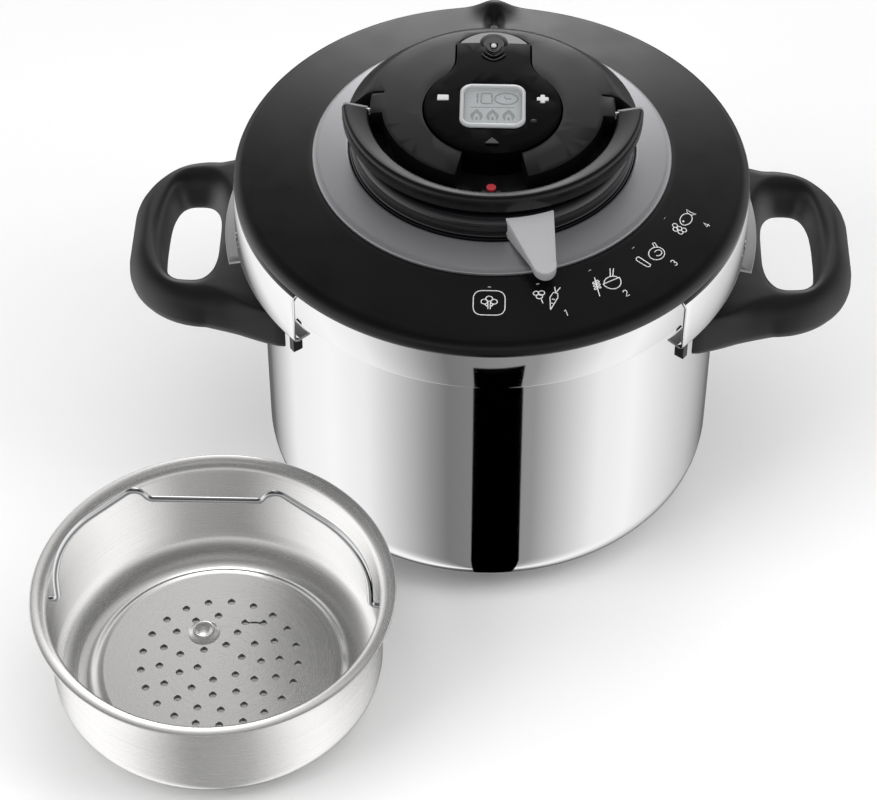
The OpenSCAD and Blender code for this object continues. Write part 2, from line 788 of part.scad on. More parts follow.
// Wire bail: two pivots, two curved sides, and a dropped middle grip
module basket_bail() {
    elbow_r = 3;
    leg_x = basket_wall - basket_t - wire_r - elbow_r;
    leg = 10;                    // height of each side's straight start above the pivot
    side_r = 70;
    side_turn = 47;
    slope = 22;                  // straight run up to the bump
    bump_r = 5;
    bump_a = 147;                // where the bump's arc ends
    drop = 1.5;                  // straight run from the bump down to the grip
    grip_r = 4;
    side_c = [leg_x - side_r, bail_z + leg];
    slope_start = side_c + side_r * [cos(side_turn), sin(side_turn)];
    slope_end = slope_start + slope * [-sin(side_turn), cos(side_turn)];
    bump_c = slope_end - bump_r * [cos(side_turn), sin(side_turn)];
    bump_end = bump_c + bump_r * [cos(bump_a), sin(bump_a)];
    drop_end = bump_end + drop * [-sin(bump_a), cos(bump_a)];
    grip_c = drop_end + grip_r * [cos(bump_a), sin(bump_a)];
    color(steel) translate([basket_xy[0], basket_xy[1], 0]) {
        for (s = [0, 1]) mirror([s, 0, 0]) {
            straight([leg_x + elbow_r, bail_z], 0, 5);
            bend([leg_x + elbow_r, bail_z + elbow_r], elbow_r, 180, 270);
            straight([leg_x, bail_z + elbow_r], 90, leg - elbow_r);
            bend(side_c, side_r, 0, side_turn);
            straight(slope_start, side_turn + 90, slope);
            bend(bump_c, bump_r, side_turn, bump_a);
            straight(bump_end, bump_a + 90, drop);
            bend(grip_c, grip_r, -90, bump_a - 180);
        }
        straight([-grip_c[0], grip_c[1] - grip_r], 0, 2 * grip_c[0]);
    }
}

// Straight piece of wire in the XZ plane, let a little into the bends at its ends
module straight(start, angle, length) {
    translate([start[0], 0, start[1]]) rotate([0, 90 - angle, 0]) translate([0, 0, -bend_lap])
        cylinder(r = wire_r, h = length + 2 * bend_lap);
}

// Bent piece of wire in the XZ plane, slightly thicker than the straight pieces
module bend(c, r, a0, a1) {
    translate([c[0], 0, c[1]]) rotate([90, 0, 0]) rotate([0, 0, a0])
        rotate_extrude(angle = a1 - a0) translate([r, 0]) circle(wire_r + 0.08);
}

pot_shell();
base_disc();
handle_left();
handle_right();
handle_bracket_left();
handle_bracket_right();
handle_screws();
handle_spacers();
lid_plate();
gasket();
lid_cover();
steam_outlet();
trim_ring();
drum_housing();
dome_cover();
drum_screws();
centre_stud();
valve_surround();
valve_seat();
indicator_bush();
safety_valve();
safety_spring();
safety_nut();
opening_handle();
handle_end_caps();
pivot_pins();
jaw_left();
jaw_right();
slide_bar_left();
slide_bar_right();
cam_pin_left();
cam_pin_right();
cam_disc();
selector_ring();
selector_lever();
timer_top();
timer_base();
lcd_frame();
lcd_window();
lcd_cell();
circuit_board();
battery();
battery_door();
buzzer();
timer_screws();
minus_button();
plus_button();
indicator_pin();
indicator_tip();
valve_rod();
valve_cap();
basket_shell();
basket_feet();
basket_bail();
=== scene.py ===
import json
import math

import bmesh
import bpy
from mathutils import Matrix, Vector


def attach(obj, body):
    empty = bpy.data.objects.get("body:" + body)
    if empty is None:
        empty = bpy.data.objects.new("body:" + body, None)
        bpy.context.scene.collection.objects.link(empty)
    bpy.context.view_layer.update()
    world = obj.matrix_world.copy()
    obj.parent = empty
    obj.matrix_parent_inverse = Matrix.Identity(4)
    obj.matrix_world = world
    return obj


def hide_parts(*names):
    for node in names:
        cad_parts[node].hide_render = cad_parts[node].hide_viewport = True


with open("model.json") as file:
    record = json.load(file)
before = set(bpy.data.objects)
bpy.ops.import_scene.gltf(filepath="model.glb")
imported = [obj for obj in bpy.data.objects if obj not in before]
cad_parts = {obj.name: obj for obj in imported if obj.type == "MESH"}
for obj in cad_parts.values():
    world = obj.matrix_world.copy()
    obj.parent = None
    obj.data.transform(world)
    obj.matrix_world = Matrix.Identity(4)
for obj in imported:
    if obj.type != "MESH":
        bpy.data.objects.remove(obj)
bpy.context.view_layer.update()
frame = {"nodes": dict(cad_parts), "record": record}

MM = 0.001
nodes = frame["nodes"]


# ---- camera, floor, light ----

CAMERA_AT = (0.0, -1.00708, 1.07252)
CAMERA_AIM = (-0.0245, -0.0347, 0.0640)
LENS = 114.7                             # focal length in mm on a 36 mm sensor
LIGHT_AIM = (0, 0, 0.1)

# The studio as polished steel shows it, in light levels. Below the horizon two wide soft boxes
# stand left and right of the camera: (degrees from the front, positive to the right, level).
# Above it is one more box behind the object: (height, level), 0 at the horizon and 1 overhead.
LEFT_BOX = [(-155, 0.15), (-120, 1.02), (-88, 1.15), (-65, 1.03), (-30, 0.36), (-20, 0.22)]
RIGHT_BOX = [(24, 0.34), (60, 1.02), (80, 1.12), (130, 0.62), (160, 0.17)]
BEHIND = 0.1
BOX_BAND = [(0.0, 1.0), (0.3, 1.0), (0.43, 0.8), (0.6, 0.42), (0.72, 0.26), (0.8, 0.14),
            (0.93, 0.03), (1.0, 0.02)]
ELSEWHERE = [(0.0, 0.8), (0.2, 0.5), (0.5, 0.15), (0.8, 0.06), (0.93, 0.06), (1.0, 0.24)]
BOX_STRENGTH = 2.5
BOX_HALF_WIDTH, BOX_EDGE = 0.12, 5.5     # where its side edges start, and how fast they fade
BOX_SPILL = 0.1                          # what is left of it at the sides


def add_object(name, data):
    ob = bpy.data.objects.new(name, data)
    bpy.context.collection.objects.link(ob)
    return ob


def point_at(ob, target):
    ob.rotation_euler = (Vector(target) - ob.location).to_track_quat("-Z", "Y").to_euler()


def make_camera():
    cam = bpy.data.cameras.new("camera")
    cam.sensor_width = 36.0
    cam.lens = LENS
    cam.clip_end = 50
    ob = add_object("camera", cam)
    ob.location = CAMERA_AT
    point_at(ob, CAMERA_AIM)
    bpy.context.scene.camera = ob


def math_node(nt, op, a, b=None, clamp=False):
    n = nt.nodes.new("ShaderNodeMath")
    n.operation = op
    n.use_clamp = clamp
    for i, v in enumerate((a, b)):
        if v is None:
            continue
        if isinstance(v, (int, float)):
            n.inputs[i].default_value = v
        else:
            nt.links.new(v, n.inputs[i])
    return n.outputs[0]


def ramp(nt, fac, stops):
    n = nt.nodes.new("ShaderNodeValToRGB")
    el = n.color_ramp.elements
    while len(el) > 1:
        el.remove(el[-1])
    for i, (p, v) in enumerate(stops):
        e = el[0] if i == 0 else el.new(p)
        e.position = p
        e.color = (v, v, v, 1)
    nt.links.new(fac, n.inputs[0])
    return n.outputs[0]


def make_world():
    """A studio: bright soft strips below the horizon, a bright box behind, darker overhead."""
    w = bpy.data.worlds.new("studio")
    bpy.context.scene.world = w
    w.use_nodes = True
    nt = w.node_tree
    bg = nt.nodes["Background"]
    tc = nt.nodes.new("ShaderNodeTexCoord")
    sep = nt.nodes.new("ShaderNodeSeparateXYZ")
    nt.links.new(tc.outputs["Generated"], sep.inputs[0])
    x, y, z = sep.outputs
    turn = math_node(nt, "ARCTAN2", x, math_node(nt, "MULTIPLY", y, -1.0))
    turn = math_node(nt, "ADD", math_node(nt, "DIVIDE", turn, 2 * math.pi), 0.5)
    low = [(-180, BEHIND)] + LEFT_BOX + RIGHT_BOX + [(180, BEHIND)]
    lower = ramp(nt, turn, [((a + 180) / 360, level) for a, level in low])
    height = math_node(nt, "MULTIPLY", z, 1.0, clamp=True)
    band = ramp(nt, height, BOX_BAND)
    behind = math_node(nt, "MULTIPLY", math_node(nt, "SUBTRACT", y, 0.1), 2.5, clamp=True)
    past_edge = math_node(nt, "SUBTRACT", math_node(nt, "ABSOLUTE", x), BOX_HALF_WIDTH)
    window = math_node(nt, "SUBTRACT", 1.0,
                       math_node(nt, "MULTIPLY", past_edge, BOX_EDGE, clamp=True))
    window = math_node(nt, "ADD", math_node(nt, "MULTIPLY", window, 1 - BOX_SPILL), BOX_SPILL)
    box = math_node(nt, "MULTIPLY", band, math_node(nt, "MULTIPLY", behind, BOX_STRENGTH))
    box = math_node(nt, "MULTIPLY", box, window)
    upper = math_node(nt, "ADD", box, ramp(nt, height, ELSEWHERE))
    pick = math_node(nt, "MULTIPLY", math_node(nt, "ADD", z, 0.01), 50.0, clamp=True)
    mix = nt.nodes.new("ShaderNodeMix")
    mix.data_type = "FLOAT"
    nt.links.new(pick, mix.inputs[0])
    nt.links.new(lower, mix.inputs[2])
    nt.links.new(upper, mix.inputs[3])
    nt.links.new(mix.outputs[0], bg.inputs["Color"])
    bg.inputs["Strength"].default_value = 1.0


def area_light(name, at, size, power):
    d = bpy.data.lights.new(name, "AREA")
    d.shape = "RECTANGLE"
    d.size, d.size_y = size
    d.energy = power
    ob = add_object(name, d)
    ob.location = at
    point_at(ob, LIGHT_AIM)
    ob.visible_glossy = False


def stage_quad(name, corners, material):
    me = bpy.data.meshes.new(name)
    me.from_pydata(corners, [], [(0, 1, 2, 3)])
    me.materials.append(material)
    ob = add_object(name, me)
    return ob


def make_floor():
    s = 6
    paper = principled("floor_paper", (0.9, 0.9, 0.9), 0.0, 0.9, Specular_IOR_Level=0.1)
    ob = stage_quad("floor", [(-s, -s, 0), (s, -s, 0), (s, s, 0), (-s, s, 0)], paper)
    # polished steel mirrors the studio strips instead of the bare floor
    ob.visible_glossy = False


def make_card():
    """A black card on the table, seen only in the polished steel: the pot's dark stripe."""
    z = 0.0004
    black = principled("card_black", (0, 0, 0), 0.0, 1.0, Specular_IOR_Level=0.0)
    ob = stage_quad("black_card", [(-0.0049, -0.096, z), (0.0128, -0.096, z),
                                   (0.074, -0.29, z), (-0.0285, -0.29, z)], black)
    ob.visible_camera = ob.visible_diffuse = ob.visible_shadow = ob.visible_transmission = False


# ---- materials ----

def principled(name, color, metallic=0.0, rough=0.4, **sockets):
    m = bpy.data.materials.new(name)
    m.use_nodes = True
    b = m.node_tree.nodes["Principled BSDF"]
    b.inputs["Base Color"].default_value = (*color, 1)
    b.inputs["Metallic"].default_value = metallic
    b.inputs["Roughness"].default_value = rough
    for k, v in sockets.items():
        b.inputs[k.replace("_", " ")].default_value = v
    return m


def noise(nt, vector, scale, detail=3.0, rough=0.55):
    n = nt.nodes.new("ShaderNodeTexNoise")
    n.inputs["Scale"].default_value = scale
    n.inputs["Detail"].default_value = detail
    n.inputs["Roughness"].default_value = rough
    nt.links.new(vector, n.inputs["Vector"])
    return n.outputs[0]


def map_range(nt, value, lo, hi, out_lo, out_hi):
    n = nt.nodes.new("ShaderNodeMapRange")
    for i, v in enumerate((lo, hi, out_lo, out_hi)):
        n.inputs[i + 1].default_value = v
    nt.links.new(value, n.inputs[0])
    return n.outputs[0]


def add_bump(m, height, strength, distance):
    nt = m.node_tree
    n = nt.nodes.new("ShaderNodeBump")
    n.inputs["Strength"].default_value = strength
    n.inputs["Distance"].default_value = distance
    nt.links.new(height, n.inputs["Height"])
    nt.links.new(n.outputs[0], nt.nodes["Principled BSDF"].inputs["Normal"])


def object_coords(nt):
    return nt.nodes.new("ShaderNodeTexCoord").outputs["Object"]


def round_coords(nt, centre, per_turn, per_radius, per_height):
    """Coordinates that run round an upright axis, for lathe and polishing lines."""
    sep = nt.nodes.new("ShaderNodeSeparateXYZ")
    nt.links.new(object_coords(nt), sep.inputs[0])
    x = math_node(nt, "SUBTRACT", sep.outputs[0], centre[0])
    y = math_node(nt, "SUBTRACT", sep.outputs[1], centre[1])
    r = math_node(nt, "SQRT", math_node(nt, "ADD", math_node(nt, "MULTIPLY", x, x),
                                        math_node(nt, "MULTIPLY", y, y)))
    comb = nt.nodes.new("ShaderNodeCombineXYZ")
    turn = math_node(nt, "ARCTAN2", y, x)
    for i, (value, scale) in enumerate(((turn, per_turn), (r, per_radius),
                                        (sep.outputs[2], per_height))):
        nt.links.new(math_node(nt, "MULTIPLY", value, scale), comb.inputs[i])
    return comb.outputs[0]


def turned_metal(name, color, rough, centre=(0, 0), lines=(1.2, 900, 900), depth=0.00001,
                 strength=0.1, spread=0.05, metallic=1.0):
    """Metal with fine lines round an upright axis, in its gloss and its bump."""
    m = principled(name, color, metallic, rough)
    nt = m.node_tree
    b = nt.nodes["Principled BSDF"]
    fine = noise(nt, round_coords(nt, centre, *lines), 1.0, 4.0, 0.6)
    nt.links.new(map_range(nt, fine, 0.3, 0.7, max(rough - spread, 0.01), rough + spread),
                 b.inputs["Roughness"])
    add_bump(m, fine, strength, depth)
    return m


def plastic(name, color, rough, grain=2600, strength=0.18, depth=0.00004, spread=0.05, **sockets):
    """Moulded or painted surface: fine grain in colour and bump, broad patches in gloss."""
    m = principled(name, color, 0.0, rough, **sockets)
    nt = m.node_tree
    b = nt.nodes["Principled BSDF"]
    co = object_coords(nt)
    fine = noise(nt, co, grain, 2.0)
    broad = noise(nt, co, 45, 3.0)
    nt.links.new(map_range(nt, broad, 0.3, 0.7, rough - spread, rough + spread),
                 b.inputs["Roughness"])
    mix = nt.nodes.new("ShaderNodeMix")
    mix.data_type = "RGBA"
    mix.inputs[6].default_value = (*[c * 0.8 for c in color], 1)
    mix.inputs[7].default_value = (*[min(c * 1.25, 1) for c in color], 1)
    nt.links.new(fine, mix.inputs[0])
    nt.links.new(mix.outputs[2], b.inputs["Base Color"])
    add_bump(m, fine, strength, depth)
    return m


BASKET_X, BASKET_Y = -127.0, -164.0      # the basket's axis, in mm
MATS = {
    "pot": turned_metal("pot_polished_steel", (0.80, 0.80, 0.81), 0.055, lines=(0.7, 500, 700),
                        strength=0.05, spread=0.02),
    "pot_inside": turned_metal("pot_inside_steel", (0.80, 0.80, 0.80), 0.26, strength=0.12,
                               metallic=0.55),
    "base": turned_metal("base_turned_steel", (0.62, 0.62, 0.63), 0.22, lines=(1.5, 1500, 300),
                         strength=0.3),
    "jaw": turned_metal("jaw_polished_steel", (0.84, 0.84, 0.85), 0.12, lines=(1.0, 500, 900),
                        strength=0.06, spread=0.03),
    "steel": turned_metal("plain_steel", (0.58, 0.58, 0.60), 0.32),
    "basket": turned_metal("basket_satin_steel", (0.92, 0.91, 0.895), 0.25,
                           (BASKET_X * MM, BASKET_Y * MM), (0.9, 1400, 1100), strength=0.14,
                           metallic=0.85),
    # painted shade: near-black colour for the linings of the basket's holes, in place of the shade
    # inside them
    "hole_shade": principled("painted_hole_shade", (0.06, 0.06, 0.06), 0.3, 0.5),
    "wire": principled("bright_wire", (0.75, 0.75, 0.76), 1.0, 0.16),
    "handle": plastic("handle_bakelite", (0.006, 0.006, 0.0064), 0.42, 1500, 0.25, 0.00005),
    "cover": plastic("cover_satin_black", (0.0025, 0.0025, 0.0027), 0.31, 3000, 0.12, 0.00003,
                     Specular_IOR_Level=0.4),
    "arch": plastic("arch_satin_black", (0.003, 0.003, 0.0033), 0.27, 3000, 0.1, 0.00003),
    "dome": plastic("dome_satin_black", (0.003, 0.003, 0.0033), 0.33, 3000, 0.15, 0.00003,
                    Specular_IOR_Level=0.36),
    "timer": plastic("timer_black", (0.0012, 0.0012, 0.0014), 0.24, 3000, 0.08, 0.00002,
                     Specular_IOR_Level=0.04),
    "gloss": plastic("gloss_black", (0.004, 0.004, 0.005), 0.13, 900, 0.03, 0.00001, 0.03,
                     Coat_Weight=0.5, Coat_Roughness=0.05),
    "inner": plastic("inner_black", (0.005, 0.005, 0.005), 0.6, 1500),
    "trim": turned_metal("satin_silver_paint", (0.52, 0.52, 0.54), 0.4, lines=(60, 1500, 1500),
                         strength=0.12, metallic=0.88),
    "lever": plastic("lever_silver_paint", (0.38, 0.38, 0.39), 0.36, 4000, 0.06, 0.00001,
                     Metallic=0.15),
    "light": plastic("light_grey_plastic", (0.22, 0.22, 0.225), 0.4),
    "bezel": principled("display_bezel", (0.46, 0.47, 0.48), 0.4, 0.24),
    "cell": plastic("display_cell", (0.2, 0.212, 0.222), 0.5, 4000, 0.02),
    "ink": principled("display_ink", (0.045, 0.048, 0.052), 0.0, 0.6),
    "print": principled("white_print", (0.7, 0.7, 0.7), 0.0, 0.6),
    "white": plastic("white_button", (0.52, 0.52, 0.52), 0.4, 3000, 0.05),
    "red": plastic("indicator_red", (0.3, 0.018, 0.024), 0.35),
    "rubber": plastic("silicone_grey", (0.45, 0.45, 0.45), 0.55),
    "board": plastic("board_green", (0.02, 0.11, 0.05), 0.5),
    "glass": principled("display_glass", (0.9, 0.93, 0.93), 0.0, 0.06, Alpha=0.10),
}

CAD_LOOK = {
    "base_disc": "base", "handle_bracket_left": "steel", "handle_bracket_right": "steel",
    "handle_screws": "steel", "handle_spacers": "handle", "lid_plate": "pot_inside",
    "gasket": "rubber", "steam_outlet": "inner", "drum_screws": "steel", "centre_stud": "steel",
    "valve_surround": "light", "valve_seat": "steel", "indicator_bush": "gloss",
    "safety_valve": "steel", "safety_spring": "steel", "safety_nut": "steel",
    "handle_end_caps": "light", "pivot_pins": "steel", "slide_bar_left": "steel",
    "slide_bar_right": "steel", "cam_pin_left": "steel", "cam_pin_right": "steel",
    "cam_disc": "steel", "timer_base": "timer", "lcd_window": "glass", "lcd_cell": "cell",
    "circuit_board": "board", "battery": "steel", "battery_door": "timer", "buzzer": "inner",
    "timer_screws": "steel", "indicator_pin": "inner", "indicator_tip": "red",
    "valve_rod": "gloss", "valve_cap": "gloss", "basket_feet": "basket",
}
BODY = {n: b for b, ns in frame["record"]["behaviour"]["bodies"].items() for n in ns}


def dress_cad():
    for name, look in CAD_LOOK.items():
        me = nodes[name].data
        if not me.materials:
            me.materials.append(MATS[look])
        for i in range(len(me.materials)):
            me.materials[i] = MATS[look]


# ---- mesh helpers, all in millimetres ----

def piece(name, verts, faces, look, node=None, body=None, sharp=35):
    me = bpy.data.meshes.new(name)
    me.from_pydata([tuple(c * MM for c in v) for v in verts], [], faces)
    me.update()
    return finish_piece(add_object(name, me), look, node, body, sharp)


def finish_piece(ob, look, node=None, body=None, sharp=35):
    """Shading, material and body of a piece; a node that is named is replaced by the piece."""
    me = ob.data
    me.polygons.foreach_set("use_smooth", [True] * len(me.polygons))
    me.set_sharp_from_angle(angle=math.radians(sharp))
    me.materials.clear()
    me.materials.append(MATS[look])
    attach(ob, body or BODY[node])
    if node:
        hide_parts(node)
    return ob


def fix_normals(ob, sharp, merge=None):
    bm = bmesh.new()
    bm.from_mesh(ob.data)
    if merge:
        bmesh.ops.remove_doubles(bm, verts=bm.verts, dist=merge)
    bmesh.ops.recalc_face_normals(bm, faces=bm.faces)
    bm.to_mesh(ob.data)
    bm.free()
    ob.data.set_sharp_from_angle(angle=math.radians(sharp))


def soften(node, look, width):
    """A copy of a CAD node with its hard edges rounded."""
    bm = bmesh.new()
    bm.from_mesh(nodes[node].data)
    bmesh.ops.remove_doubles(bm, verts=bm.verts, dist=2e-6)
    bmesh.ops.dissolve_limit(bm, angle_limit=math.radians(0.8), verts=bm.verts, edges=bm.edges)
    edges = [e for e in bm.edges if len(e.link_faces) == 2
             and e.calc_face_angle(0.0) > math.radians(32)]
    bmesh.ops.bevel(bm, geom=edges, offset=width * MM, segments=2, profile=0.6,
                    affect="EDGES", clamp_overlap=True)
    me = bpy.data.meshes.new(node + "_fine")
    bm.to_mesh(me)
    bm.free()
    return finish_piece(add_object(node + "_fine", me), look, node, sharp=40)


def polar(cx, cy, r, degrees):
    t = math.radians(degrees)
    return (cx + r * math.cos(t), cy + r * math.sin(t))


def arc(cx, cz, r, a0, a1, n):
    return [polar(cx, cz, r, a0 + (a1 - a0) * i / n) for i in range(n + 1)]


def rounded(points, radius, n):
    """Closed outline with each corner rounded, by one radius or by one for each corner."""
    out = []
    k = len(points)
    for i in range(k):
        p, a, b = Vector(points[i]), Vector(points[i - 1]), Vector(points[(i + 1) % k])
        r = radius[i] if isinstance(radius, list) else radius
        da, db = (a - p), (b - p)
        t = min(r, da.length * 0.45, db.length * 0.45)
        pa, pb = p + da.normalized() * t, p + db.normalized() * t
        for j in range(n + 1):
            f = j / n
            out.append(tuple(pa.lerp(p, f).lerp(p.lerp(pb, f), f)))
    return out


def quads(rows, k, closed=True):
    """Faces between rows of k points, the last row joined to the first."""
    faces = []
    for i in range(rows):
        j = (i + 1) % rows
        for q in range(k if closed else k - 1):
            p = (q + 1) % k
            faces.append((i * k + q, j * k + q, j * k + p, i * k + p))
    return faces


def lathe(name, profile, look, node=None, body=None, segments=180, centre=(0, 0), closed=True,
          sharp=35):
    """Profile of (radius, height) points turned round an upright axis."""
    verts = []
    for i in range(segments):
        a = 2 * math.pi * i / segments
        for r, z in profile:
            verts.append((centre[0] + r * math.cos(a), centre[1] + r * math.sin(a), z))
    faces = quads(segments, len(profile), closed)
    ob = piece(name, verts, faces, look, node, body, sharp)
    fix_normals(ob, sharp, merge=1e-7)
    return ob


def add_splines(cu, strokes):
    for pts, closed in strokes:
        sp = cu.splines.new("POLY")
        sp.points.add(len(pts) - 1)
        for point, (x, y, z) in zip(sp.points, pts):
            point.co = (x * MM, y * MM, z * MM, 1)
        sp.use_cyclic_u = closed


def mesh_of(name, curve):
    tmp = add_object(name + "_curve", curve)
    me = bpy.data.meshes.new_from_object(tmp.evaluated_get(bpy.context.evaluated_depsgraph_get()))
    bpy.data.objects.remove(tmp)
    me.name = name
    return me


def wire(name, strokes, radius, look, body, resolution=2):
    """Round strokes along polylines. Each stroke is (points, closed)."""
    cu = bpy.data.curves.new(name, "CURVE")
    cu.dimensions = "3D"
    cu.bevel_depth = radius * MM
    cu.bevel_resolution = resolution
    cu.use_fill_caps = True
    add_splines(cu, strokes)
    return finish_piece(add_object(name, mesh_of(name, cu)), look, body=body, sharp=60)


def flat_shape(name, outlines, z, thick, look, body, bevel=0.0):
    """Flat plate from closed outlines in XY (the later ones cut holes), its underside at z."""
    cu = bpy.data.curves.new(name, "CURVE")
    cu.dimensions = "2D"
    cu.fill_mode = "BOTH"
    cu.extrude = (thick / 2 - bevel) * MM
    cu.bevel_depth = bevel * MM
    cu.offset = -bevel * MM
    cu.bevel_resolution = 2
    add_splines(cu, [([(x, y, 0) for x, y in pts], True) for pts in outlines])
    me = mesh_of(name, cu)
    for v in me.vertices:
        v.co.z += (z + thick / 2) * MM
    return finish_piece(add_object(name, me), look, body=body, sharp=40)


def circle(cx, cy, r, n=24):
    return [polar(cx, cy, r, 360 * i / n) for i in range(n)]


def smoothstep(a, b, x):
    t = min(max((x - a) / (b - a), 0.0), 1.0)
    return t * t * (3 - 2 * t)


# ---- pot ----

POT_R, POT_INSIDE_R = 112.0, 110.8
CORNER = (88.0, 31.0)                    # centre of the rounding between wall and bottom


def make_pot():
    ro, ri, c = POT_R, POT_INSIDE_R, CORNER
    outer = [(0.01, 7.0)] + arc(*c, 24, -90, 0, 30) + [(ro, 60), (ro, 110), (ro, 152.9)]
    outer += arc(ro + 0.4, 153.5, 0.4, 180, 90, 3)
    outer += [(113.2, 153.9)] + arc(113.0, 154.6, 0.7, -80, 0, 4)
    outer += [(113.7, 165)] + arc(112.9, 174.7, 0.8, 0, 90, 5) + arc(111.6, 174.7, 0.8, 90, 180, 5)
    inner = [(ri, 150), (ri, 60)] + arc(*c, 22.8, 0, -90, 30) + [(0.01, 8.2)]
    pot = lathe("pot_shell_fine", outer + inner, "pot", "pot_shell", closed=False, segments=256,
                sharp=60)
    pot.data.materials.append(MATS["pot_inside"])
    for f in pot.data.polygons:
        cx, cy, cz = (c / MM for c in f.center)
        faces_axis = f.normal.x * cx + f.normal.y * cy < 0
        inner_wall = math.hypot(cx, cy) < POT_R - 0.8 and cz > 25 and faces_axis
        inner_floor = f.normal.z > 0.05 and cz < CORNER[1]
        if inner_wall or inner_floor:
            f.material_index = 1


HOLE_X = 145.5                           # the middle of the right finger hole
HANDLE_END = 176.0
END_CORNER_X, END_CORNER_Y, END_CORNER_R = 136, 13, 40
ROOT_X, ROOT_Y = 96.8, 63.8              # where the straight sides meet the pot
HANDLE_WALL_R = 114.3                    # the hollow that fits round the pot


def handle_point(alpha):
    """Distances from the middle of the finger hole to the hole's edge and to the outer edge."""
    cx = HOLE_X
    dx, dy = math.cos(alpha), math.sin(alpha)
    # finger hole: rounded rectangle 25 by 66
    hx, hy, p = 12.5, 33.0, 3.0
    hole = (abs(dx / hx) ** p + abs(dy / hy) ** p) ** (-1 / p)
    # outer edge: cast the ray on the corner circles, the straight sides and the wall
    best = None

    def keep(t, ok):
        nonlocal best
        if t is not None and t > hole and ok(cx + dx * t, dy * t):
            if best is None or t < best:
                best = t

    def ray_circle(ox, oy, r):
        fx, fy = cx - ox, -oy
        b = fx * dx + fy * dy
        q = b * b - (fx * fx + fy * fy - r * r)
        return (-b + math.sqrt(q)) if q >= 0 else None

    def ray_line(ax, ay, bx, by):
        ex, ey = bx - ax, by - ay
        det = dx * ey - dy * ex
        if abs(det) < 1e-9:
            return None
        t = ((ax - cx) * ey - ay * ex) / det
        return t if t > 0 else None

    kx, ky, kr = END_CORNER_X, END_CORNER_Y, END_CORNER_R
    for s in (-1, 1):
        keep(ray_circle(kx, s * ky, kr), lambda x, y: x >= kx and s * y >= ky)
        keep(ray_line(kx, s * (ky + kr), ROOT_X, s * ROOT_Y), lambda x, y: ROOT_X <= x <= kx)
    keep(ray_line(HANDLE_END, -ky, HANDLE_END, ky), lambda x, y: abs(y) <= ky)
    keep(ray_line(ROOT_X, -ROOT_Y, ROOT_X, ROOT_Y), lambda x, y: abs(y) > 61)
    q = (cx * dx) ** 2 - (cx ** 2 - HANDLE_WALL_R ** 2)
    if q >= 0 and dx < 0:
        t = -cx * dx - math.sqrt(q)
        if t > 0 and (best is None or t < best):
            best = t
    return hole, best


def quarter(n):
    """Pairs (1 - cos, 1 - sin) over a quarter turn, in n steps."""
    angles = [math.pi / 2 * k / n for k in range(n + 1)]
    return [(1 - math.cos(a), 1 - math.sin(a)) for a in angles]


def make_side_handle(side):
    """A soft bar swept round the finger hole, tighter at its edges next to the pot."""
    sign = 1 if side == "right" else -1
    n, z_low, z_high = 220, 127.0, 149.0
    top, low = quarter(7), quarter(4)
    verts = []
    for i in range(n):
        al = 2 * math.pi * i / n
        hole, out = handle_point(al)
        dx, dy = math.cos(al), math.sin(al)
        wall = smoothstep(126, 104, HOLE_X + dx * out)
        root = smoothstep(118, 98, HOLE_X + dx * out)
        width = out - hole
        # how far each rounding reaches in and down (top) or up (bottom), outside and at the hole
        top_out, top_out_z = min(11.5 - 9.0 * wall, width * 0.48), 15.0 - 11 * wall
        top_hole, top_hole_z = min(8.5 + 4.0 * smoothstep(0.2, -0.9, dx), width * 0.5), 15.0
        low_out, low_out_z = min(6.0 - 3.5 * wall, width * 0.4), 6.0 - 3 * root
        low_hole, low_hole_z = min(4.0, width * 0.4), 6.0
        top_flat, low_flat = width - top_out - top_hole, width - low_out - low_hole
        # from the outer edge over the top to the hole, then back underneath
        ring = [(out - top_out * c, z_high - top_out_z * s) for c, s in top]
        ring += [(hole + top_hole + top_flat * f, z_high) for f in (0.67, 0.34)]
        ring += [(hole + top_hole * s, z_high - top_hole_z * c) for c, s in top]
        ring += [(hole + low_hole * c, z_low + low_hole_z * s) for c, s in low[1:]]
        ring += [(hole + low_hole + low_flat * f, z_low) for f in (0.33, 0.66)]
        ring += [(out - low_out * s, z_low + low_out_z * c) for c, s in low]
        verts += [(sign * (HOLE_X + dx * d), sign * dy * d, z) for d, z in ring]
    faces = quads(n, len(ring))
    ob = piece(f"handle_{side}_fine", verts, faces, "handle", f"handle_{side}", sharp=50)
    fix_normals(ob, 50, merge=1e-6)
    ob.visible_glossy = False


# ---- lid ----

COVER_Z, EDGE_Z = 198.0, 191.7           # heights of the flat middle and of the edge
SLOPE_R, EDGE_R = 86, 118.5              # where it starts to slope, and where its edge begins
SLOPE, SLOPE_GROWTH = 0.176, 0.0366 / 65.1


def cover_top(r):
    """Height of the cover's upper face at a radius."""
    if r < SLOPE_R:
        return COVER_Z
    if r < EDGE_R:
        return COVER_Z - SLOPE * (r - SLOPE_R) - SLOPE_GROWTH * (r - SLOPE_R) ** 2
    return EDGE_Z


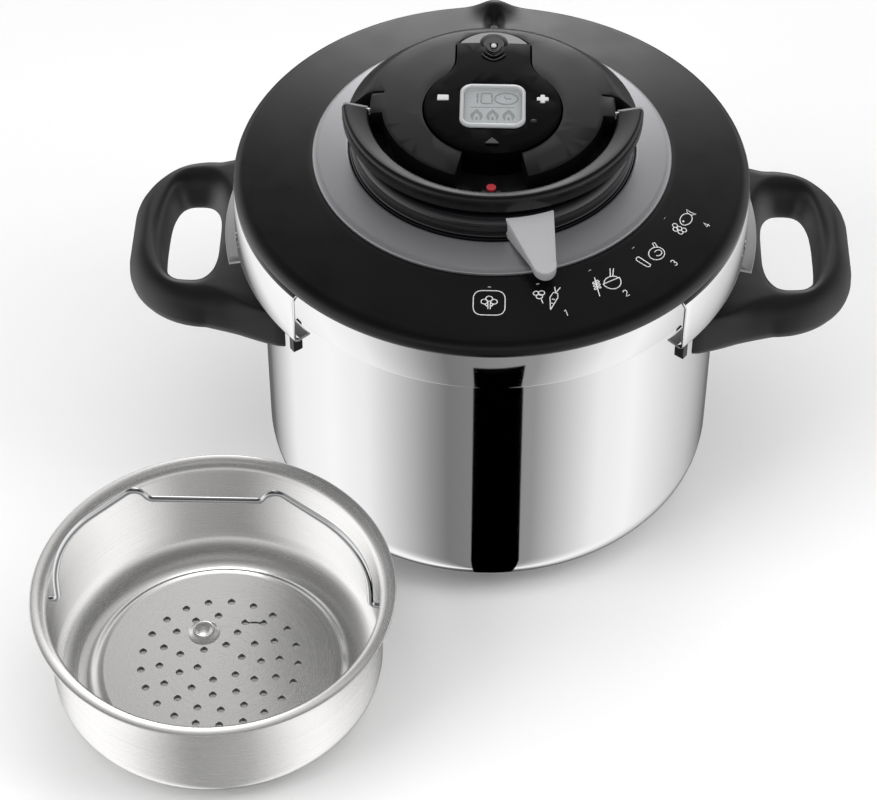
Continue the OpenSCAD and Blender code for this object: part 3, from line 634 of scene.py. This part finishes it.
def make_cover():
    """The lid's cover, with the steam spout and its slot at the back."""
    radii = [57, 70, 84, 86, 88, 90.5, 93, 95, 96, 97, 98.5, 100, 102, 104, 106, 108, 110, 112,
             114, 116, 117.5, 118.5]
    prof = [(r, cover_top(r)) for r in radii]
    prof += arc(117.3, 185.8, 6, 76, 0, 14)[1:] + [(123.3, 184.6), (123.0, 183.5), (122.5, 183.2)]
    prof += [(120.9, 183.2), (120.9, 185.8)] + arc(117.3, 185.8, 3.6, 10, 78, 6)
    prof += [(104, 192.2), (86, 195.5), (57, 195.5)]
    k = len(prof)
    angles = []
    a = 0.0
    while a < 359.99:
        angles.append(a)
        a += 0.5 if 76 <= a < 104 else 1.5 if 68 <= a < 112 else 2.0
    n_top = len(radii) + 10              # points of the profile that the spout lifts
    verts, faces = [], []
    for a in angles:
        c, s = math.cos(math.radians(a)), math.sin(math.radians(a))
        for q, (r, z) in enumerate(prof):
            x, y = r * c, r * s
            if q < n_top and y > 0 and r > 90:
                rise = 4.6 * math.exp(-(x / 8.5) ** 2) * smoothstep(101, 119, r)
                rise *= 1 - smoothstep(121.6, 123.2, r)
                dip = 3.0 * math.exp(-(x / 3.6) ** 2) * smoothstep(93.5, 97, r)
                dip *= 1 - smoothstep(107, 117.5, r)
                z += rise - dip
            verts.append((x, y, z))
    n = len(angles)
    slot_faces = []
    for i in range(n):
        j = (i + 1) % n
        for q in range(k):
            p = (q + 1) % k
            face = (i * k + q, j * k + q, j * k + p, i * k + p)
            middle = math.radians((angles[i] + angles[j]) / 2)
            behind = j and angles[i] < 180 and abs(prof[q][0] * math.cos(middle)) < 1.9
            on_top = q < len(radii) - 1 and 96 < (prof[q][0] + prof[p][0]) / 2 < 105
            (slot_faces if behind and on_top else faces).append(face)
    # the steam slot goes down into the dark
    edges = [edge for f in slot_faces for edge in zip(f, f[1:] + f[:1])]
    known = set(edges)
    deep = {}
    for u, v in edges:
        if (v, u) in known:
            continue
        for w in (u, v):
            if w not in deep:
                deep[w] = len(verts)
                verts.append((verts[w][0], verts[w][1], 186.5))
        faces.append((u, v, deep[v], deep[u]))
    fix_normals(piece("lid_cover_fine", verts, faces, "cover", "lid_cover", sharp=50), 50)


def make_rings():
    lathe("trim_ring_fine", rounded([(68, 198.1), (68, 203.4), (69, 203.6), (83.4, 200.9),
                                     (85.3, 199.6), (85.3, 198.1)],
                                    [0.2, 0.5, 0.6, 1.6, 0.7, 0.2], 5), "trim", "trim_ring")
    lathe("drum_housing_fine", [
        (56, 198.1), (67.5, 198.1), (67.5, 201.4), (66.9, 201.8), (66.9, 202.4), (67.5, 202.8),
        (67.5, 203.9), (67.2, 204.2), (60.6, 204.2), (60.6, 213.4), (60.0, 214.0), (0.01, 214.0),
        (0.01, 211.6), (56, 211.6)], "gloss", "drum_housing")
    body = [(61.0, 204.7), (66.6, 204.7), (67.0, 205.1), (67.0, 205.6), (66.7, 206.0)]
    body += arc(60.4, 210.4, 6.8, -34, 40, 14) + [(65.1, 215.2), (64.4, 215.4), (61.0, 215.4)]
    lathe("selector_ring_fine", body, "gloss", "selector_ring", sharp=50)


ARCH_IN_R, ARCH_OUT_R = 58.0, 71.1
ARCH_SHIFT = 6.6                         # the outer circle's centre is this far behind the axis
ARCH_TOP = 226.4
ARCH_FALL = 0.22                         # slope of the top, down towards the inside


def make_arch():
    """Half-ring opening handle: a rounded section swept round the front of the drum."""
    verts, faces = [], []
    n = 120
    for i in range(n + 1):
        a = math.radians(180 + 180 * i / n)
        c, s = math.cos(a), math.sin(a)
        out = ARCH_SHIFT * s + math.sqrt(ARCH_OUT_R ** 2 - (ARCH_SHIFT * c) ** 2)
        w = out - ARCH_IN_R
        inner = ARCH_TOP - ARCH_FALL * (w - 1.8)
        sec = [(58.0, 217.0), (58.6, 216.5), (out - 1.6, 216.5), (out - 0.5, 217.2), (out, 218.6),
               (out, 222.0), (out, 224.3), (out - 0.2, 225.2), (out - 0.7, 225.9),
               (out - 1.3, 226.3), (out - 2.0, 226.35),
               (out - w * 0.45, ARCH_TOP - ARCH_FALL * (w * 0.45 - 1.8)),
               (59.2, inner + ARCH_FALL * 1.2 - 0.05), (58.5, inner - 0.1), (58.1, inner - 0.6),
               (58.0, inner - 1.6), (58.0, 220)]
        m = len(sec)
        for r, z in sec:
            verts.append((r * c, r * s, z))
    for i in range(n):
        for q in range(m):
            p = (q + 1) % m
            faces.append((i * m + q, i * m + p, (i + 1) * m + p, (i + 1) * m + q))
    faces.append(tuple(range(m)))
    faces.append(tuple(n * m + q for q in reversed(range(m))))
    fix_normals(piece("opening_handle_fine", verts, faces, "arch", "opening_handle", sharp=55), 55)


# ---- program icons and marks printed on the cover ----

def on_cover(turn, r0, strokes, lift=0.05):
    """Strokes in a small upright frame, laid on the cover at an angle from the front."""
    t = math.radians(turn)
    er, et = (math.sin(t), -math.cos(t)), (math.cos(t), math.sin(t))
    out = []
    for pts, closed in strokes:
        line = []
        for u, v in pts:
            x = er[0] * (r0 - v) + et[0] * u
            y = er[1] * (r0 - v) + et[1] * u
            line.append((x, y, cover_top(math.hypot(x, y)) + lift))
        out.append((line, closed))
    return out


def bow(cx, cy, rx, ry, a0, a1, n=14):
    """Part of an ellipse."""
    return [(cx + rx * math.cos(math.radians(a0 + (a1 - a0) * i / n)),
             cy + ry * math.sin(math.radians(a0 + (a1 - a0) * i / n))) for i in range(n + 1)]


def loop(cx, cy, rx, ry, n=16, turn=0.0):
    """A whole ellipse, turned, as a closed stroke."""
    t = math.radians(turn)
    pts = []
    for i in range(n):
        x, y = rx * math.cos(2 * math.pi * i / n), ry * math.sin(2 * math.pi * i / n)
        pts.append((cx + x * math.cos(t) - y * math.sin(t),
                    cy + x * math.sin(t) + y * math.cos(t)))
    return (pts, True)


DIGITS = [                               # 1 to 4
    [([(-0.5, 1.0), (0.3, 1.6), (0.3, -1.6)], False)],
    [(bow(0, 0.7, 0.9, 0.9, 170, -35, 8) + [(-0.9, -1.6), (1.0, -1.6)], False)],
    [(bow(0, 0.75, 0.85, 0.85, 150, -80, 8) + bow(0, -0.75, 0.95, 0.85, 80, -150, 8), False)],
    [([(0.5, -1.6), (0.5, 1.6), (-0.9, -0.6), (1.1, -0.6)], False)],
]
PROGRAM_STEP = 16                        # degrees from one program to the next


def make_icons():
    frame_box = (rounded([(-7.2, -6.6), (7.2, -6.6), (7.2, 6.6), (-7.2, 6.6)], 4.5, 6), True)
    sprig = [loop(-2.2, 0.6, 1.5, 1.3), loop(0, 2.2, 1.6, 1.4), loop(2.2, 0.6, 1.5, 1.3),
             ([(-0.6, 0.4), (-0.5, -3.4)], False), ([(0.6, 0.4), (0.5, -3.4)], False),
             ([(-2.0, -0.7), (-0.8, -2.0)], False), ([(2.0, -0.7), (0.8, -2.0)], False)]
    carrot = [([(-1.6, -6.2), (0.0, 0.4), (2.2, 2.6), (4.0, 1.6), (3.4, -0.6), (-1.6, -6.2)],
               False),
              ([(3.2, 2.4), (3.6, 5.4)], False), ([(3.4, 2.3), (6.0, 4.6)], False),
              ([(0.6, -0.8), (1.8, -1.4)], False), ([(-0.4, -2.8), (0.6, -3.2)], False),
              loop(-4.6, 1.8, 1.5, 1.2), loop(-3.2, 3.4, 1.5, 1.2), loop(-5.6, 3.8, 1.3, 1.1),
              ([(-4.2, 0.6), (-4.0, -2.2)], False)]
    bowl = [(bow(2.4, -0.6, 4.4, 4.6, 180, 360), False), ([(-2.2, -0.6), (7.0, -0.6)], False),
            (bow(2.4, -0.6, 3.6, 2.2, 180, 0), False), ([(3.2, 1.4), (5.6, 5.4)], False),
            ([(4.4, 1.2), (7.0, 4.8)], False), ([(-7.0, -5.6), (-3.6, 4.2)], False)]
    bowl += [loop(-5.4 + 0.5 * i + s * 0.9, -1.2 + 1.5 * i, 0.9, 0.45, 8, 60 * s + 70)
             for i in range(3) for s in (-1, 1)]
    roast = [(bow(2.6, -0.6, 4.2, 3.4, 0, 360), True),
             (bow(3.4, -0.8, 2.0, 1.5, 200, 480), False),
             ([(4.6, 2.2), (5.6, 4.6), (6.8, 4.2), (5.8, 1.6)], False),
             (bow(-6.4, 2.4, 1.3, 1.3, 40, 180, 8) + bow(-5.6, -2.2, 1.3, 1.3, 200, 330, 8),
              False),
             ([(-5.4, 3.2), (-4.6, -2.8)], False)]
    fish = [(bow(2.2, 0, 4.0, 2.6, 150, -150, 18) + [(-1.6, -1.2), (-2.0, 0), (-1.6, 1.2)],
             True),
            ([(5.8, 0.8), (8.0, 2.4), (7.6, 0.0), (8.0, -2.4), (5.8, -0.8)], False),
            loop(0.2, 0.5, 0.35, 0.35, 6), loop(-6.6, 1.4, 1.2, 1.2), loop(-4.6, 2.6, 1.2, 1.2),
            loop(-5.0, 0.2, 1.2, 1.2), loop(-6.8, -1.2, 1.2, 1.2), loop(-4.6, -2.0, 1.2, 1.2)]
    strokes = []
    for i, icon in enumerate(([frame_box] + sprig, carrot, bowl, roast, fish)):
        strokes += on_cover(PROGRAM_STEP * i, 100, icon)
        if i:
            strokes += on_cover(PROGRAM_STEP * i + 2.5, 109.4, DIGITS[i - 1])
    wire("program_icons", strokes, 0.24, "print", "lid", 1)
    dot = [([(0, -0.01), (0, 0.01)], False)]
    dots = []
    for i in range(5):
        dots += on_cover(PROGRAM_STEP * i - (2.2 if i else 0), 91.6, dot, 0.0)
    wire("program_dots", dots, 0.9, "print", "lid", 3)


# ---- timer ----

GLYPH_Z = 229.24
GLYPH_Y = -3.5                           # the middle of what the display shows
GLYPH_SCALE = 0.9


def make_display():
    def place(u, v):
        return (GLYPH_SCALE * u, GLYPH_SCALE * v + GLYPH_Y)

    def put(strokes, dx=0.0, dy=0.0):
        return [([(*place(u + dx, v + dy), GLYPH_Z) for u, v in pts], c) for pts, c in strokes]

    one = [([(0, 3.8), (0, 0.4)], False), ([(0, -0.4), (0, -3.8)], False)]
    zero = [([(-2.4, 4.0), (2.4, 4.0)], False), ([(-2.4, -4.0), (2.4, -4.0)], False),
            ([(-2.8, 3.6), (-2.8, 0.4)], False), ([(2.8, 3.6), (2.8, 0.4)], False),
            ([(-2.8, -0.4), (-2.8, -3.6)], False), ([(2.8, -0.4), (2.8, -3.6)], False)]
    strokes = put(one, -8.0, 6.6) + put(zero, -3.2, 6.6)
    strokes += put([loop(0, 0, 6.0, 4.5, 28), ([(-1.0, 1.4), (0, 0), (2.8, 0)], False)], 7.0, 6.6)
    wire("display_digits", strokes, 0.36, "ink", "timer", 1)
    wire("display_line", put([([(-11.4, 0), (11.2, 0)], False)], 0, -0.4), 0.2, "ink", "timer", 1)

    def flame(cx):
        half = [(0, 4.6), (1.4, 2.8), (2.9, 0.8), (3.3, -1.6), (2.4, -3.8), (1.5, -4.4)]
        inner = [(1.9, -2.2), (1.4, -0.6), (0, 1.6)]
        left = [(-a, b) for a, b in reversed(half)]
        out = left + half[1:]
        mid = [(1.7, -3.0)] + inner[1:] + [(-1.4, -0.6), (-1.7, -3.0), (-1.5, -4.4)]
        drop = [(0, -1.2), (0.8, -2.6), (0.6, -4.0), (-0.6, -4.0), (-0.8, -2.6)]
        return [[place(cx + a, b - 6.4) for a, b in pts] for pts in (out + mid[:-1], drop)]

    outlines = flame(-8.3) + flame(0.0) + flame(8.3)
    flat_shape("display_flames", outlines, GLYPH_Z - 0.05, 0.12, "ink", "timer")


def make_timer_marks():
    """Grip ribs on the neck, an arrowhead in front of the display, and two round marks."""
    ribs = []
    for r, h in ((7.2, 30.4), (6.2, 33.4), (5.0, 36.2)):
        ribs.append(([(r * math.sin(math.radians(t)),
                       h + 9 - 9 * math.cos(math.radians(t)) - 1.5 * (1 - abs(t) / 50), 230.62)
                      for t in range(-50, 51, 10)], False))
    wire("timer_ribs", ribs, 0.42, "gloss", "timer", 2)
    tri = rounded([(-3.6, -31.6), (3.6, -31.6), (0, -27.2)], 0.8, 3)
    flat_shape("timer_arrow", [tri], 230.3, 0.9, "gloss", "timer", 0.25)
    lathe("valve_mark", [(0.01, 228.75), (0.9, 228.7), (1.3, 228.3), (1.3, 227.6)], "white",
          body="operating_valve", segments=24, centre=(0.0, 43.2), closed=False)
    lathe("timer_pip", [(0.01, 231.0), (1.2, 231.0), (1.5, 230.8), (1.6, 230.2)], "inner",
          body="timer", segments=24, centre=(19.0, -15.0), closed=False)


# ---- basket ----

# Rings of holes in the floor: (radius, count, turn of the first hole in steps of its ring).
HOLE_RINGS = [(11, 6, 0.3), (20, 11, 0.1), (29, 16, 0.25), (38, 21, 0.0)]
HOLE_R = 1.95
DIMPLE, SLOT = (-9, 18), (15, 25)        # their middles, from the basket's axis


def make_basket():
    bx, by = BASKET_X, BASKET_Y
    dimple_x, dimple_y = DIMPLE
    slot_x, slot_y = SLOT
    wall = [(56.0, 12.2), (57.6, 12.0), (59.2, 10.8), (60.6, 9.2), (62.2, 8.3), (64.5, 8.05)]
    wall += arc(65, 22, 14, -80, 0, 16) + [(79, 30), (79, 45), (79, 61.6)]
    wall += [(79.3, 63.6), (80.4, 65.4), (82.2, 66.4), (84.4, 66.7), (85.6, 66.8), (86.0, 67.2),
             (85.8, 67.7), (85.2, 67.9), (82.0, 67.6), (79.9, 66.6), (78.7, 65.0), (78.2, 62.6)]
    wall += [(78.2, 45), (78.2, 30)] + arc(65, 22, 13.2, 0, -78, 14)
    wall += [(64.4, 8.9), (62.6, 9.2), (61.2, 10.2), (59.8, 11.9), (58.0, 12.95), (56.0, 13.1)]
    shell = lathe("basket_wall_fine", wall, "basket", "basket_shell", segments=220,
                  centre=(bx, by), sharp=70)
    holes = []
    for ring, count, start in HOLE_RINGS:
        for i in range(count):
            x, y = polar(0, 0, ring, 360 * (i + start) / count)
            at_dimple = math.hypot(x - dimple_x, y - dimple_y) < 8.6
            at_slot = abs(x - slot_x) < 8.5 and abs(y - slot_y) < 4.6
            if not (at_dimple or at_slot):
                holes.append(circle(bx + x, by + y, HOLE_R, 16))
    # the slot: a narrow neck between two round ends
    end = circle(0, 0, 1.9, 16)[3:14]
    slot = [(x - 4.6, y) for x, y in end] + [(-2, -0.6), (2, -0.6)]
    slot += [(-x, -y) for x, y in slot]
    holes.append([(bx + slot_x + x, by + slot_y + y) for x, y in slot])
    floor = flat_shape("basket_floor_fine", [circle(bx, by, 56.2, 120)] + holes, 12.25, 0.8,
                       "basket", "basket")
    # painted shade: dark linings, a little narrower than the holes, stand in for the shade inside
    # them
    verts, faces = [], []
    for pts in holes:
        k, n = len(verts), len(pts)
        cx, cy = (sum(p[i] for p in pts) / n for i in (0, 1))
        for z in (12.9, 10.6):
            verts += [(cx + 0.98 * (x - cx), cy + 0.98 * (y - cy), z) for x, y in pts]
        for i in range(n):
            j = (i + 1) % n
            faces.append((k + i, k + j, k + n + j, k + n + i))
    hole_shades = piece("basket_painted_hole_shade", verts, faces, "hole_shade", body="basket", sharp=60)
    hole_shades.visible_glossy = False
    boss = [(0.01, 14.3), (2.2, 14.3), (3.0, 14.6), (3.9, 15.6), (4.8, 15.9), (5.8, 15.2),
            (6.8, 13.6), (7.8, 13.1)]
    dimple = lathe("basket_boss_fine", boss, "basket", body="basket", segments=48,
                   centre=(bx + dimple_x, by + dimple_y), closed=False, sharp=70)
    for ob in (shell, floor, dimple, nodes["basket_feet"]):
        ob.visible_glossy = False


BAIL_Z = 58.0                            # height of the bail's pivots


def bail_path():
    """Right half of the wire, from its end in the wall to the middle of the grip, as (x, z)."""
    elbow, side_r, slope, bump_r, grip_r = 3.0, 70.0, 22.0, 5.0, 4.0
    side_turn, bump_turn = 47, 147       # directions where the side and the bump end
    leg = 73.7
    pts = [(leg + 8, BAIL_Z), (leg + elbow, BAIL_Z)]
    pts += [polar(leg + elbow, BAIL_Z + elbow, elbow, t) for t in (240, 210, 180)]
    side = (leg - side_r, BAIL_Z + 10)
    pts += [polar(*side, side_r, t) for t in range(0, side_turn + 1, 4)]
    bump = polar(*polar(*side, side_r - bump_r, side_turn), slope, side_turn + 90)
    pts += [polar(*bump, bump_r, t) for t in range(side_turn, bump_turn + 1, 10)]
    grip = polar(*polar(*bump, bump_r + grip_r, bump_turn), 1.5, bump_turn + 90)
    pts += [polar(*grip, grip_r, t) for t in range(bump_turn - 180, -91, -9)]
    return pts


def make_bail():
    half = bail_path()
    whole = half + [(-x, z) for x, z in reversed(half)]
    line = [(BASKET_X + x, BASKET_Y, z) for x, z in whole]
    ob = wire("basket_bail_fine", [(line, False)], 1.5, "wire", "bail", 4)
    ob.visible_glossy = False
    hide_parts("basket_bail")


make_camera()
make_world()
make_floor()
make_card()
area_light("top_soft", (0.1, -0.2, 2.1), (2.2, 2.2), 30)
area_light("left_soft", (-1.5, -0.9, 1.5), (1.3, 1.3), 22)
area_light("right_soft", (1.6, -0.4, 1.3), (1.0, 1.4), 15)
bpy.context.scene.view_settings.view_transform = "Standard"

dress_cad()
make_pot()
make_side_handle("left")
make_side_handle("right")
make_cover()
make_rings()
make_arch()
for node, look, width in (("dome_cover", "dome", 0.5), ("timer_top", "timer", 0.5),
                          ("lcd_frame", "bezel", 0.7), ("selector_lever", "lever", 0.9),
                          ("jaw_left", "jaw", 0.3), ("jaw_right", "jaw", 0.3),
                          ("minus_button", "white", 0.5), ("plus_button", "white", 0.5)):
    ob = soften(node, look, width)
    ob.visible_glossy = not node.startswith("jaw")
make_icons()
make_display()
make_timer_marks()
make_basket()
make_bail()

bpy.context.view_layer.update()
